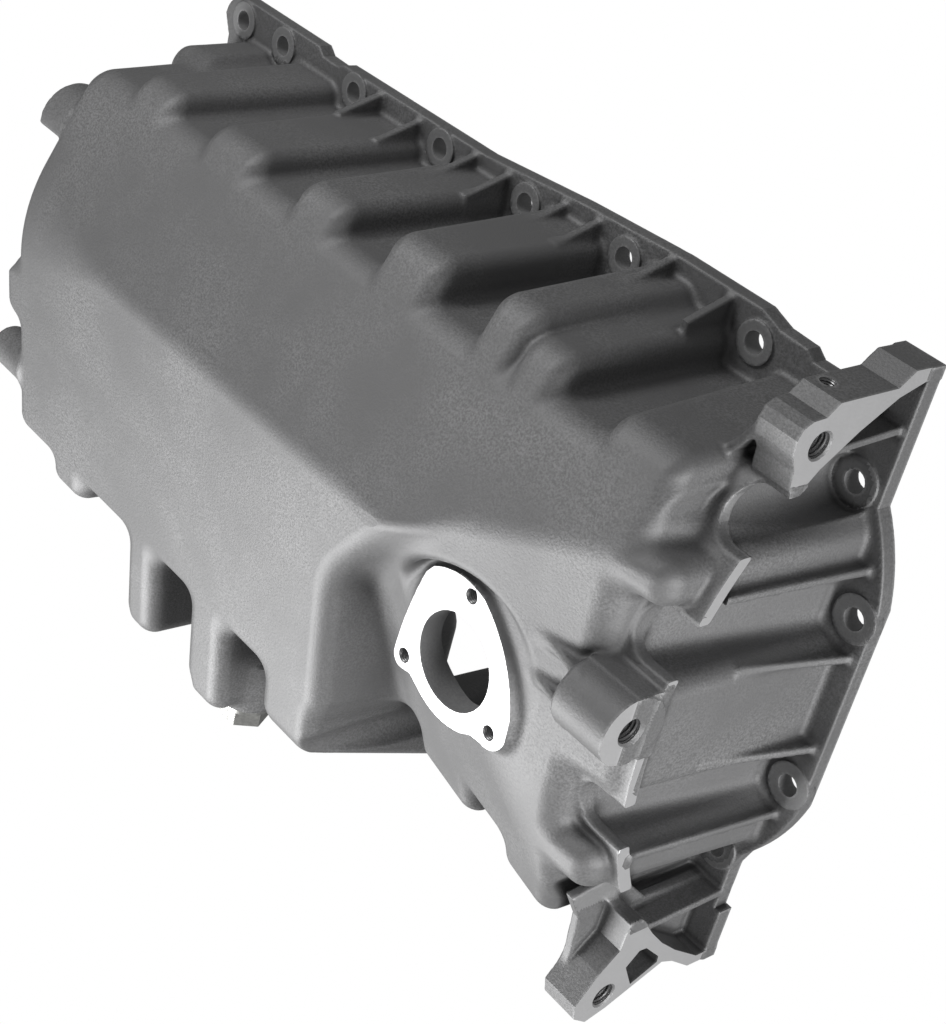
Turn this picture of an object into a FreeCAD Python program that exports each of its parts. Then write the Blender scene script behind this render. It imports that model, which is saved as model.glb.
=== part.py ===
import FreeCAD, Part
import math
import os

# Engine oil pan: one aluminium die casting, its drain plug and the plug's sealing ring.
# Frame: X runs along the engine, with 0 on the machined face that the gearbox bolts to,
# and the pan on its negative side. Y is across, with 0 on the centreline. Z is up, with 0
# on the gasket face, so the pan hangs below it as it does on the engine. Millimetres.

V = FreeCAD.Vector

# Shell: the walls lean by draft so that the casting leaves its die
wall = 4.0
end_wall = 7.5
draft = 0.035
side_y = 91.0
far_side_y = 89.0
rear_x = -383.0
rail_x = -397.0
rail_out = 3.5
rail_depth = 46.0
sump_end_x = -142.0
sump_end_lean = 0.09
front_start_x = -200.0
front_x = -3.5
front_lean = 0.20
bulge_lean = 0.077
core_fillet = 13.0
bulge_fillet = 7.5
bulge_step = 0.8
front_bulge_step = 2.5
bulge_share = 0.4
bury = 40.0

# Bottom faces, each as its height at X0 Y0 and its slopes along X and Y
near_floor = (-132.4, 0.0, -0.47)
sump_floor = (-117.4, 0.0, 0.128)
port_floor = (-127.7, -0.20, 0.42)
nose_floor = (-94.0, 0.20, 0.04)

# Flange and its bolts
flange_t = 6.9
bolt_r = 4.3
near_y = -101.4
wide_y = -105.0
side_bolts = [(-391.8, near_y), (-360.6, near_y), (-307.4, near_y), (-247.7, near_y),
              (-193.7, near_y), (-137.5, wide_y), (-69.3, wide_y)]
corner_bolt = (-11.7, -81.9)
end_bolt = (7.3, -37.2)
rear_bolt = (-391.8, 0.0)
spot_r = 8.3
end_spot_r = 9.3
spot_height = 1.0
access_r = 10.3

# Edge of the flange along the near side, from the gearbox face to the rear corner; the far
# side mirrors it from mirror_from on
flange_edge = [
    (-17.0, -132.0), (-18.0, -119.0), (-28.0, -110.5), (-44.0, -110.5), (-48.0, -113.5),
    (-61.0, -114.0), (-71.0, -117.4), (-113.0, -117.4), (-165.0, -114.5), (-222.0, -109.5),
    (-318.0, -109.0), (-323.0, -107.0), (-333.0, -107.3), (-337.0, -110.5), (-392.0, -110.8)]
mirror_from = 2
rear_corner = [(-392.0, -110.8), (-403.5, -107.3), (-407.5, -99.5)]
rear_edge = (-403.0, -91.0)
bow = [(0.0, -77.5), (9.5, -61.0), (15.0, -43.5)]
notch = [(-3.0, 107.0), (-3.0, 85.0)]

# Bulges of the long sides between the bolts: start, end and how far out they stand
near_bulges = [
    (-351.5, -317.5, 99.5), (-298.0, -257.5, 99.8), (-238.0, -203.5, 102.5),
    (-184.0, -147.5, 106.5), (-127.5, -100.0, 110.0), (-106.0, -79.5, 104.5),
    (-59.5, -20.0, 100.5)]
far_bulges = [
    (-351.5, -317.5, 98.5), (-297.0, -276.0, 100.0), (-180.0, -139.0, 119.0)]
far_front_bulges = [(-127.5, -79.5, 104.0), (-59.5, -20.0, 101.0)]
front_bulges = [(-72.0, -48.5, 1.0), (-27.0, 26.0, 5.2), (46.5, 71.0, 3.0)]
rear_bulge = (-394.0, 14.0, 44.0)
inner_y = 60.0
inner_x = -60.0

# Two deep lobes of the sump under the far side of the flange, the drain in the second
lobes = [(-286.5, -258.0), (-235.0, -206.5)]
lobe_y = 129.5
lobe_roof_z = -40.0
lobe_roof_slope = 1.3

# Ribs between flange and walls
gusset_t = 3.4
gusset_depth = 21.5
gusset_toe = 7.5
gussets_at = [
    (-290.6, 107.8), (-264.1, 107.0), (-227.2, 108.0), (-206.7, 108.5), (-173.6, 111.0),
    (-154.7, 112.5), (-115.7, 116.0), (-85.4, 115.5)]
end_ribs_at = [(-56.0, 6.1, 67.0), (-22.4, 11.6, 47.0), (17.7, 11.6, 49.0), (51.6, 7.1, 71.0)]
end_rib_t = 3.0
end_rib_root = 15.0

# Skirt along the gearbox face: an arc shell with a slot for every bolt of the end flange
skirt_r = 151.0
skirt_t = 5.2
skirt_y = -1.0
skirt_z = 58.0
skirt_depth = 30.0
skirt_half = 95.0
skirt_top = -45.0
slot_r = 10.3
slots_at = [(-6.0, -83.0), (-11.0, -38.8), (-11.0, 34.5), (-6.0, 78.7)]

# Gearbox bolts, threaded M10, each as Y and Z
thread_r = 4.3
mouth_r = 5.6
mouth_depth = 1.3
block_bolt = (-110.8, -54.1)
nose_bolt = (-11.8, -101.5)
foot_bolt = (124.6, -63.8)

# Corner block, foot bracket and the thin plates that stiffen them
block_length = 17.0
side_hole = (-12.0, -44.0)
side_thread_r = 2.5
side_thread_depth = 12.0
foot_length = 17.0
foot_back_t = 4.0
back_t = 3.0
web_t = 3.2
web_step = 2.5
web_reach = 26.0
curved_web = [(-42.0, -90.0), (-35.0, -91.5), (-29.0, -93.0), (-22.5, -101.0), (-15.5, -112.5)]
curved_web_bottom = -66.0

# Outlines in Y and Z of the machined ends of the block and the bracket
block_outline = [
    (-132, 0), (-132, -15.3), (-126.5, -22), (-125.8, -51), (-121.3, -55.8), (-120.8, -62),
    (-118.7, -65.7), (-114.7, -67.2), (-108.8, -66.2), (-103, -63.2), (-95.5, -62), (-93.2, -60),
    (-93.6, -56.4), (-101.3, -49.8), (-112.8, -35.4), (-122.7, -19.9), (-127.2, -flange_t),
    (-127.2, 0)]
block_back = [(-128, -4), (-105.5, -4), (-103.5, -45), (-113, -35), (-123, -19)]
block_web = [(-105.8, -44), (-103, -46), (-105.3, -4), (-108.5, -4)]
foot_outline = [
    (127.4, 0), (127.3, -12), (117, -28.2), (108.7, -38.7), (100.6, -46.8), (90.6, -55.5),
    (89.3, -59.2), (89.6, -62.6), (102, -63.5), (110.5, -71.2), (118.4, -76), (123.5, -79.2),
    (130.5, -77.2), (135.3, -70), (132.5, -60.3), (120.7, -34), (123.2, -27.4), (131.1, -15.6),
    (131.5, 0)]
foot_window = [
    (107.6, -47.4), (116, -37.8), (119.2, -37.3), (125.2, -49.6), (113.7, -56.2), (107.3, -51.2)]
foot_back = [
    (128, -4), (98, -4), (96, -40), (76, -62), (79, -84), (92, -76), (109, -74), (129, -74),
    (137, -68.5), (139.5, -64), (134, -54), (121.5, -34), (127, -16)]
foot_web = [(98.5, -48), (101.5, -46), (100.5, -4), (97.3, -4)]

# Threaded boss in the middle of the skirt
nose_boss_r = 13.2
nose_boss_length = 25.0
nose_thread_depth = 20.0
nose_stem = 14.0
nose_rib_end = -53.0
nose_rib_t = 3.0
nose_rib_y = 8.0
nose_rib_drop = 7.0
nose_rib_height = 10.0

# Oil level sensor port
port = (-77.8, 12.8, -106.0)
port_r = 18.6
port_ring = 4.2
port_circle = 28.0
port_angles = [270.0, 150.0, 30.0]
port_thread_r = 2.5
port_thread_depth = 8.0
port_lobe_r = 7.2
port_pad_t = 10.0
port_pad_height = 26.0
port_gap = 1.5

# Hidden rear end: a ring boss and a lug, each as Y, Z and radius
rear_boss = (-55.0, -88.0, 14.0)
rear_boss_x = -393.0
rear_groove = (11.0, 8.5, 4.0)
rear_lug = (62.0, -98.0, 9.5)
rear_lug_x = -399.0

# Drain plug, M14
drain_x = -216.0
drain_z = -76.0
drain_boss_r = 13.5
drain_boss_height = 6.0
drain_boss_root = 14.0
drain_r = 7.0
drain_length = 24.0
plug_clearance = 0.1
plug_length = 16.0
plug_across = 19.0
plug_sides = 6
plug_head_t = 7.0
plug_collar_r = 11.5
plug_collar_t = 1.5
washer_t = 1.5
washer_r = 10.5
washer_clearance = 0.2

# Cutters: slabs of this size and thickness, depth of the tall blocks, and how far a cutter
# stands out past the face that it cuts
slab = 1600.0
slab_t = 400.0
deep = 160.0
margin = 1.0
rear_floors = [near_floor, sump_floor]
front_floors = [near_floor, port_floor, nose_floor]


def under_plane(height, slope_x, slope_y, lift):
    """Everything below a sloping floor that is raised square to itself by lift."""
    up = V(-slope_x, -slope_y, 1.0)
    up.normalize()
    box = Part.makeBox(slab, slab, slab_t)
    turn = FreeCAD.Placement(V(0, 0, height) + up * lift, FreeCAD.Rotation(V(0, 0, 1), up))
    drop = FreeCAD.Placement(V(-slab / 2, -slab / 2, -slab_t), FreeCAD.Rotation())
    box.Placement = turn.multiply(drop)
    return box


def rectangle(x0, x1, y0, y1, z):
    return Part.makePolygon([V(x0, y0, z), V(x1, y0, z), V(x1, y1, z), V(x0, y1, z), V(x0, y0, z)])


def drafted_block(x0, x1, y0, y1, leans, floors, lift):
    """A box with leaning sides, standing on the given floors, which are raised by lift."""
    top = rectangle(x0, x1, y0, y1, 0)
    bottom = rectangle(x0 + leans[0] * deep, x1 - leans[1] * deep,
                       y0 + leans[2] * deep, y1 - leans[3] * deep, -deep)
    solid = Part.makeLoft([top, bottom], True, True)
    for floor in floors:
        solid = solid.cut(under_plane(*floor, lift))
    return solid


def round_edges(solid, radius, is_inner):
    """Fillets every edge but those on the gasket plane and those buried in a neighbour."""
    edges = []
    for edge in solid.Edges:
        middle = edge.valueAt((edge.FirstParameter + edge.LastParameter) / 2)
        if middle.z < -margin / 2 and not is_inner(middle):
            edges.append(edge)
    return solid.makeFillet(radius, edges)


def rear_core(inset):
    block = drafted_block(rear_x + inset, sump_end_x - inset, -side_y + inset, far_side_y - inset,
                          (draft, sump_end_lean, draft, draft), rear_floors, inset)
    return round_edges(block, core_fillet - inset, lambda p: False)


def front_core(inset):
    block = drafted_block(front_start_x, front_x - inset, -side_y + inset, far_side_y - inset,
                          (0, front_lean, draft, draft), front_floors, inset)
    return round_edges(block, core_fillet - inset, lambda p: p.x < front_start_x + margin)


def rail(inset):
    """The shallow step at the rear end that carries the end of the flange."""
    half_near, half_far = side_y + rail_out - inset, far_side_y + rail_out - inset
    block = drafted_block(rail_x + inset, rear_x + bury, -half_near, half_far,
                          (draft, 0, draft, draft), [(-rail_depth, 0, 0)], inset)
    return round_edges(block, core_fillet - inset, lambda p: p.x > rear_x + bury - margin)


def rear_bump(inset):
    x, y0, y1 = rear_bulge
    block = drafted_block(x + inset, rear_x + bury, y0 + inset, y1 - inset,
                          (draft, 0, draft, draft), rear_floors, inset + bulge_step)
    return round_edges(block, bulge_radius(y1 - y0, inset), lambda p: p.x > rear_x + bury - margin)


def bulge_radius(width, inset):
    """The fillet of a bulge, smaller where its far end is narrow."""
    narrow = width - 2 * inset - 2 * draft * deep
    return min(bulge_fillet - inset / 2, narrow * bulge_share)


def side_bulge(x0, x1, out, side, floors, inset):
    y0, y1 = (-out + inset, -inner_y) if side < 0 else (inner_y, out - inset)
    leans = (draft, draft, draft, 0) if side < 0 else (draft, draft, 0, draft)
    block = drafted_block(x0 + inset, x1 - inset, y0, y1, leans, floors, inset + bulge_step)
    return round_edges(block, bulge_radius(x1 - x0, inset), lambda p: abs(p.y) < inner_y + margin)


def front_bulge(y0, y1, out, inset):
    """A bulge of the gearbox end; its own wall is end_wall thick, to carry the gasket."""
    front = out - inset * end_wall / wall
    block = drafted_block(inner_x, front, y0 + inset, y1 - inset,
                          (0, bulge_lean, draft, draft), front_floors, inset + front_bulge_step)
    return round_edges(block, bulge_radius(y1 - y0, inset), lambda p: p.x < inner_x + margin)


def lobe(x0, x1, inset):
    """A deep lobe of the sump that reaches out past the flange, with a sloping roof."""
    block = drafted_block(x0 + inset, x1 - inset, inner_y, lobe_y - inset,
                          (draft, draft, 0, draft), rear_floors, inset + bulge_step)
    roof = under_plane(lobe_roof_z + lobe_roof_slope * lobe_y, 0, -lobe_roof_slope, -inset)
    return round_edges(block.common(roof), bulge_radius(x1 - x0, inset),
                       lambda p: p.y < inner_y + margin)


def pan_blocks(inset):
    """The body of the pan for inset 0, and the space inside it for inset wall."""
    blocks = [rear_core(inset), front_core(inset), rail(inset), rear_bump(inset)]
    for x0, x1, out in near_bulges:
        blocks.append(side_bulge(x0, x1, out, -1, [near_floor], inset))
    for x0, x1, out in far_bulges:
        blocks.append(side_bulge(x0, x1, out, 1, rear_floors, inset))
    for x0, x1, out in far_front_bulges:
        blocks.append(side_bulge(x0, x1, out, 1, [port_floor], inset))
    for y0, y1, out in front_bulges:
        blocks.append(front_bulge(y0, y1, out, inset))
    for x0, x1 in lobes:
        blocks.append(lobe(x0, x1, inset))
    return blocks


def joined(shapes):
    return shapes[0].multiFuse(shapes[1:])


def flange_bolts():
    """Centre and spot-face radius of every hole in the flange."""
    bolts = [(*rear_bolt, spot_r)]
    for side in (-1, 1):
        bolts += [(x, -side * y, spot_r) for x, y in side_bolts]
        bolts.append((corner_bolt[0], -side * corner_bolt[1], end_spot_r))
        bolts.append((end_bolt[0], -side * end_bolt[1], end_spot_r))
    return bolts


def upright(x, y, radius, top, bottom):
    """A cylinder parallel to Z."""
    return Part.makeCylinder(radius, top - bottom, V(x, y, bottom))


def along_x(y, z, radius, x0, x1):
    return Part.makeCylinder(radius, x1 - x0, V(x0, y, z), V(1, 0, 0))


def lines(points):
    corners = [V(x, y, 0) for x, y in points]
    return [Part.LineSegment(a, b).toShape() for a, b in zip(corners, corners[1:])]


def arc(points):
    return [Part.Arc(*[V(x, y, 0) for x, y in points]).toShape()]


def mirrored(points):
    return [(x, -y) for x, y in reversed(points)]


def flange_plate():
    """The flange: straight runs with steps, rounded rear corners and a bowed gearbox end."""
    edges = lines([(0, flange_edge[0][1])] + flange_edge) + arc(rear_corner)
    edges += lines([rear_corner[-1], rear_edge, (rear_edge[0], -rear_edge[1]),
                    mirrored(rear_corner)[0]])
    edges += arc(mirrored(rear_corner))
    far = mirrored(flange_edge[mirror_from:])
    out = foot_outline[-1][0]
    far += [(-foot_length, out), (0, out), (0, notch[0][1])] + notch + [mirrored(bow)[-1]]
    edges += lines(far) + arc(mirrored(bow)[::-1])
    edges += lines([(bow[-1][0], -bow[-1][1]), bow[-1]]) + arc(bow[::-1])
    edges += lines([bow[0], (0, flange_edge[0][1])])
    face = Part.Face(Part.Wire(Part.__sortEdges__(edges)))
    return face.extrude(V(0, 0, -flange_t))


def plate_in_yz(points, x0, x1):
    """A flat plate between two X positions with the given outline in Y and Z."""
    wire = Part.makePolygon([V(x0, y, z) for y, z in points + points[:1]])
    return Part.Face(wire).extrude(V(x1 - x0, 0, 0))


def plate_in_xz(points, y0, y1):
    wire = Part.makePolygon([V(x, y0, z) for x, z in points + points[:1]])
    return Part.Face(wire).extrude(V(0, y1 - y0, 0))


def gussets():
    """Triangular ribs under the flange, one each side of the bolts."""
    ribs = []
    root = side_y - wall / 2
    for side in (-1, 1):
        for x, out in gussets_at:
            low = -flange_t - gusset_depth
            corners = [(side * root, -flange_t / 2), (side * out, -flange_t / 2),
                       (side * out, -flange_t), (side * (out - gusset_toe), low),
                       (side * root, low)]
            ribs.append(plate_in_yz(corners, x - gusset_t / 2, x + gusset_t / 2))
    return ribs


def end_rib(y, out, depth):
    low = -flange_t - depth
    corners = [(front_x - end_rib_root, -flange_t / 2), (out, -flange_t / 2), (out, -flange_t),
               (0, low), (front_x - end_rib_root, low)]
    return plate_in_xz(corners, y - end_rib_t / 2, y + end_rib_t / 2)


def skirt():
    """The arc shell along the gearbox face, open where a bolt of the end flange passes."""
    shell = along_x(skirt_y, skirt_z, skirt_r, -skirt_depth, 0)
    shell = shell.cut(along_x(skirt_y, skirt_z, skirt_r - skirt_t, -skirt_depth, 0))
    band = Part.makeBox(skirt_depth, 2 * skirt_half, deep + skirt_top,
                        V(-skirt_depth, skirt_y - skirt_half, -deep))
    shell = shell.common(band)
    for x, y in slots_at:
        shell = shell.cut(slot_space(x, y))
    return shell


def slot_space(x, y):
    """The way of one bolt and its socket through the skirt: round inside, open to the face."""
    back = upright(x, y, slot_r, -flange_t, -deep)
    front = Part.makeBox(-2 * inner_x, 2 * slot_r, deep - flange_t, V(x, y - slot_r, -deep))
    return back.fuse(front)


def upright_web(path, thickness, bottom):
    """A thin web parallel to Z that follows a path in plan, hanging from the flange."""
    height = -bottom - flange_t / 2
    pieces = [upright(x, y, thickness / 2, bottom + height, bottom) for x, y in path]
    for (x0, y0), (x1, y1) in zip(path, path[1:]):
        along = V(x1 - x0, y1 - y0, 0)
        length = along.Length
        strip = Part.makeBox(length, thickness, height, V(0, -thickness / 2, bottom))
        angle = math.degrees(math.atan2(along.y, along.x))
        strip.Placement = FreeCAD.Placement(V(x0, y0, 0), FreeCAD.Rotation(V(0, 0, 1), angle))
        pieces.append(strip)
    return joined(pieces)


def corner_block():
    """The near corner of the gearbox face: a leg with a threaded end and its stiffening."""
    leg = plate_in_yz(block_outline, -block_length, 0)
    back = plate_in_yz(block_back, -block_length, -block_length + back_t)
    web = plate_in_yz(block_web, -web_reach, -web_step)
    return [leg, back, web, upright_web(curved_web, web_t, curved_web_bottom)]


def foot_bracket():
    """The far corner of the gearbox face: a bracket with a threaded end and a window."""
    front = plate_in_yz(foot_outline, -foot_length, 0)
    back = plate_in_yz(foot_back, -foot_length, -foot_length + foot_back_t)
    window = plate_in_yz(foot_window, -foot_length + foot_back_t, 0)
    web = plate_in_yz(foot_web, -web_reach, -web_step)
    return [front.cut(window), back, web]


def nose_boss():
    """The threaded boss in the middle of the skirt, with two ribs that run back from it."""
    y, z = nose_bolt
    boss = along_x(y, z, nose_boss_r, -nose_boss_length, 0)
    stem = Part.makeBox(nose_boss_length, 2 * nose_boss_r, nose_stem,
                        V(-nose_boss_length, y - nose_boss_r, z))
    pieces = [boss, stem]
    start = -nose_boss_length + wall
    for side in (-1, 1):
        middle = y + side * nose_rib_y
        corners = [(start, z - nose_rib_drop), (nose_rib_end, z),
                   (nose_rib_end, z + nose_rib_height), (start, z + nose_rib_height)]
        pieces.append(plate_in_xz(corners, middle - nose_rib_t / 2, middle + nose_rib_t / 2))
    return pieces


def port_holes():
    x, y, z = port
    angles = [math.radians(a) for a in port_angles]
    return [(x + port_circle * math.cos(a), y + port_circle * math.sin(a)) for a in angles]


def port_flank(x, y):
    """The straight-sided part of the pad between its disc and one lobe, tangent to both."""
    away = V(x - port[0], y - port[1], 0)
    away.normalize()
    side = V(-away.y, away.x, 0)
    centre, tip = V(*port), V(x, y, port[2])
    big, small = port_r + port_ring, port_lobe_r
    lean = (big - small) / port_circle
    across = math.sqrt(1 - lean * lean)
    corners = [centre + side * big * across + away * big * lean,
               tip + side * small * across + away * small * lean,
               tip - side * small * across + away * small * lean,
               centre - side * big * across + away * big * lean]
    return Part.Face(Part.makePolygon(corners + corners[:1])).extrude(V(0, 0, port_pad_height))


def port_pad():
    """The flat pad of the level sensor: a disc and three lobes joined by tangent flanks."""
    x, y, z = port
    pieces = [upright(x, y, port_r + port_ring, z + port_pad_height, z)]
    for hole in port_holes():
        pieces += [upright(*hole, port_lobe_r, z + port_pad_height, z), port_flank(*hole)]
    return joined(pieces)


def port_space(extra, top):
    """A round space about the port, a little wider than its pad by extra, below top."""
    return upright(port[0], port[1], port_circle + port_lobe_r + port_gap + extra, top, -deep)


def rear_details():
    """The ring boss and the round lug low on the rear wall."""
    y, z, radius = rear_boss
    boss = along_x(y, z, radius, rear_boss_x, rear_x + wall)
    outer, inner, depth = rear_groove
    ring = along_x(y, z, outer, rear_boss_x, rear_boss_x + depth)
    boss = boss.cut(ring.cut(along_x(y, z, inner, rear_boss_x, rear_boss_x + depth)))
    y, z, radius = rear_lug
    return [boss, along_x(y, z, radius, rear_lug_x, rear_x + wall)]


drain_face_y = lobe_y + drain_boss_height


def along_y(x, z, radius, y0, y1):
    return Part.makeCylinder(radius, y1 - y0, V(x, y0, z), V(0, 1, 0))


def drain_boss():
    return along_y(drain_x, drain_z, drain_boss_r, lobe_y - drain_boss_root, drain_face_y)


def holes():
    """Every drilled and threaded hole of the casting."""
    low = -flange_t - spot_height - margin
    cuts = [upright(x, y, bolt_r, margin, low) for x, y, spot in flange_bolts()]
    cuts.append(along_x(*block_bolt, thread_r, -block_length - margin, margin))
    cuts.append(along_x(*foot_bolt, thread_r, -foot_length - margin, margin))
    cuts.append(along_x(*nose_bolt, thread_r, -nose_thread_depth, margin))
    for y, z in (block_bolt, foot_bolt, nose_bolt):
        cuts.append(Part.makeCone(thread_r, mouth_r, mouth_depth, V(-mouth_depth, y, z), V(1, 0, 0)))
    cuts.append(upright(port[0], port[1], port_r, port[2] + port_pad_height, -deep))
    for x, y in port_holes():
        cuts.append(upright(x, y, port_thread_r, port[2] + port_thread_depth, -deep))
    cuts.append(along_y(drain_x, drain_z, drain_r, drain_face_y - drain_length, drain_face_y + margin))
    x, z = side_hole
    face_y = block_outline[0][0]
    cuts.append(along_y(x, z, side_thread_r, face_y, block_outline[2][0] + side_thread_depth))
    return joined(cuts)


def oil_pan():
    """The casting: outer blocks and everything that stands on them, less the space inside."""
    shape = joined(pan_blocks(0.0))
    bolts = flange_bolts()
    shape = shape.cut(joined([upright(x, y, access_r, -flange_t, -deep) for x, y, s in bolts]))
    extras = [flange_plate(), skirt(), drain_boss()] + gussets() + rear_details()
    extras += [end_rib(*rib) for rib in end_ribs_at] + corner_block() + foot_bracket()
    extras += nose_boss()
    extras += [upright(x, y, s, -flange_t / 2, -flange_t - spot_height) for x, y, s in bolts]
    shape = shape.multiFuse(extras)
    shape = shape.cut(port_space(0, port[2])).fuse(port_pad())
    space = joined(pan_blocks(wall))
    space = space.cut(joined([upright(x, y, access_r + wall, 0, -deep) for x, y, s in bolts]))
    space = space.cut(port_space(wall, port[2] + port_pad_t))
    return shape.cut(space).cut(holes())


def drain_plug():
    """A hex-headed plug screwed in from outside, its collar pressing on the sealing ring."""
    start = drain_face_y + washer_t
    shank = along_y(drain_x, drain_z, drain_r - plug_clearance, start - washer_t - plug_length, start)
    collar = along_y(drain_x, drain_z, plug_collar_r, start, start + plug_collar_t)
    corner_r = plug_across / 2 / math.cos(math.pi / plug_sides)
    corners = []
    for step in range(plug_sides + 1):
        a = 2 * math.pi * step / plug_sides
        corners.append(V(drain_x + corner_r * math.cos(a), start + plug_collar_t,
                         drain_z + corner_r * math.sin(a)))
    head = Part.Face(Part.makePolygon(corners)).extrude(V(0, plug_head_t, 0))
    return shank.fuse(collar).fuse(head).removeSplitter()


def drain_plug_washer():
    ring = along_y(drain_x, drain_z, washer_r, drain_face_y, drain_face_y + washer_t)
    inner = drain_r + washer_clearance
    return ring.cut(along_y(drain_x, drain_z, inner, drain_face_y, drain_face_y + washer_t))


if __name__ == "__main__":
    os.makedirs("parts", exist_ok=True)
    oil_pan().exportStep("parts/oil_pan.step")
    drain_plug().exportStep("parts/drain_plug.step")
    drain_plug_washer().exportStep("parts/drain_plug_washer.step")
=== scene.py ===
# %% [markdown]
# # An oil pan, seen from below
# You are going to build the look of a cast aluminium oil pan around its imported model. Such a
# pan is one die casting: molten aluminium is pressed into a steel mould, and the faces that
# seal or carry bolts are milled flat afterwards. The shapes are worked out in millimetres,
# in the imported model's own frame, and become metres when a mesh is made.

# %% Load the frame
import math

import bpy
import numpy as np
from mathutils import Matrix


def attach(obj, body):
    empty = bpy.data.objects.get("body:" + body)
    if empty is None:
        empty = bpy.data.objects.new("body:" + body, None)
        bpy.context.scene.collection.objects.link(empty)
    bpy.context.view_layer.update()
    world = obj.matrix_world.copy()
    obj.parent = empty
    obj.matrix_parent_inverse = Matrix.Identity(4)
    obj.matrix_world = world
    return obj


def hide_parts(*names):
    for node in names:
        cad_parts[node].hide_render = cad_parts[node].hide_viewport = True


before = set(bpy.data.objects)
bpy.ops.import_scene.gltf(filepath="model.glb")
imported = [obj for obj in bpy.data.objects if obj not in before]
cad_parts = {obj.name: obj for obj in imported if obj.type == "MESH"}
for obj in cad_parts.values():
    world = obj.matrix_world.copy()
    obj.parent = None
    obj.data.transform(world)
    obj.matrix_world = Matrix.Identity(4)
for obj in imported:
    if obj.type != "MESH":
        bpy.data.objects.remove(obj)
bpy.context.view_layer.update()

print("nodes:", sorted(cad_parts))

# %% [markdown]
# ## The camera comes first
# Every later choice is judged against one picture, so you place the camera before any
# piece. The photograph looks up at the pan from below its gearbox end. Three straight
# directions in a photograph (along, across, down) are enough to work out how the camera was
# turned, and a size that is known, such as the distance between two bolt holes, gives how
# far away it stood.

# %% Camera
RIGHT = (0.6238, -0.2245, 0.7486)
DOWN = (0.5133, 0.8400, -0.1759)
AHEAD = (-0.5893, 0.4940, 0.6392)
EYE = (0.2926, -0.3624, -0.5182)
FOCAL_PIXELS = 1902
LONG_SIDE = 1024
SENSOR = 36.0


def add_camera():
    """Camera with its axes along RIGHT, minus DOWN and minus AHEAD."""
    data = bpy.data.cameras.new("camera")
    data.sensor_width = SENSOR
    data.lens = FOCAL_PIXELS / LONG_SIDE * SENSOR
    data.clip_start = 0.01
    camera = bpy.data.objects.new("camera", data)
    camera.matrix_world = Matrix([
        (RIGHT[i], -DOWN[i], -AHEAD[i], EYE[i]) for i in range(3)] + [(0, 0, 0, 1)])
    bpy.context.scene.collection.objects.link(camera)
    bpy.context.scene.camera = camera
    return camera


camera = add_camera()
print("camera lens", round(camera.data.lens, 1), "mm")

# %% [markdown]
# ## Light and background
# A catalogue picture of a part has a white ground and broad, soft lamps. The world shows
# white to the camera alone and gives a grey fill to everything else, so the casting keeps
# its contrast. Big area lamps stand for the soft boxes of a photo studio.

# %% World and lamps
FILL = 0.16


def add_world():
    """White to camera rays, a grey fill to every other ray."""
    world = bpy.data.worlds.new("studio")
    world.use_nodes = True
    nodes, links = world.node_tree.nodes, world.node_tree.links
    nodes.clear()
    out = nodes.new("ShaderNodeOutputWorld")
    seen, fill = nodes.new("ShaderNodeBackground"), nodes.new("ShaderNodeBackground")
    mix, path = nodes.new("ShaderNodeMixShader"), nodes.new("ShaderNodeLightPath")
    seen.inputs["Color"].default_value = (1, 1, 1, 1)
    fill.inputs["Color"].default_value = (1, 1, 1, 1)
    fill.inputs["Strength"].default_value = FILL
    links.new(path.outputs["Is Camera Ray"], mix.inputs["Fac"])
    links.new(fill.outputs[0], mix.inputs[1])
    links.new(seen.outputs[0], mix.inputs[2])
    links.new(mix.outputs[0], out.inputs["Surface"])
    bpy.context.scene.world = world


def add_lamp(name, place, aim, size, power):
    """A square area lamp at place that shines towards aim, in metres and watts."""
    data = bpy.data.lights.new(name, "AREA")
    data.size, data.energy = size, power
    lamp = bpy.data.objects.new(name, data)
    ahead = np.subtract(aim, place) / np.linalg.norm(np.subtract(aim, place))
    side = np.cross(ahead, (0.0, 0.0, 1.0))
    side /= np.linalg.norm(side)
    up = np.cross(side, ahead)
    lamp.matrix_world = Matrix([
        (side[i], up[i], -ahead[i], place[i]) for i in range(3)] + [(0, 0, 0, 1)])
    bpy.context.scene.collection.objects.link(lamp)


MIDDLE = (-0.19, 0.0, -0.06)
add_world()
add_lamp("key", (-0.42, 0.70, -0.78), MIDDLE, 0.5, 14.0)
add_lamp("side", (-0.50, -0.75, -0.55), MIDDLE, 0.4, 4.0)
add_lamp("end", (0.80, 0.10, -0.15), MIDDLE, 0.5, 7.5)
bpy.context.scene.view_settings.view_transform = "Standard"

# %% [markdown]
# ## Shapes as distances
# A die casting has no sharp inner corner: wherever two forms meet, the mould is rounded so
# that the metal flows. You get exactly that from signed distances. A shape is a function
# that gives, for any point, how far outside the shape it is (negative inside). The smaller
# of two distances joins two shapes, and a *smooth* smaller-of rounds the corner between
# them, like a fillet. A surface drawn on a grid of two parameters couldn't follow more than
# seventy ribs, bulges and bosses that run into each other, so the casting is made from
# distances and everything simpler is made from parameters.

# %% Joining and rounding
GRID = 1.25
FAR = 60.0
REACH = 4 * GRID


def smooth_least(a, b, k):
    """min(a, b), with the corner between them rounded over a width of k."""
    if np.all(k <= 0):
        return np.minimum(a, b)
    h = np.maximum(k - np.abs(a - b), 0) / k
    return np.minimum(a, b) - h * h * (k / 4)


def within(r, *sides):
    """Inside every side at once, with the outer corners rounded to radius r."""
    most, total = sides[0], 0
    for side in sides:
        most = np.maximum(most, side)
        total = total + np.maximum(side + r, 0) ** 2
    return np.minimum(most, -r) + np.sqrt(total)


def slab(a, low, high):
    """How far a lies outside the range from low to high."""
    return np.abs(a - (low + high) / 2) - (high - low) / 2


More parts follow.
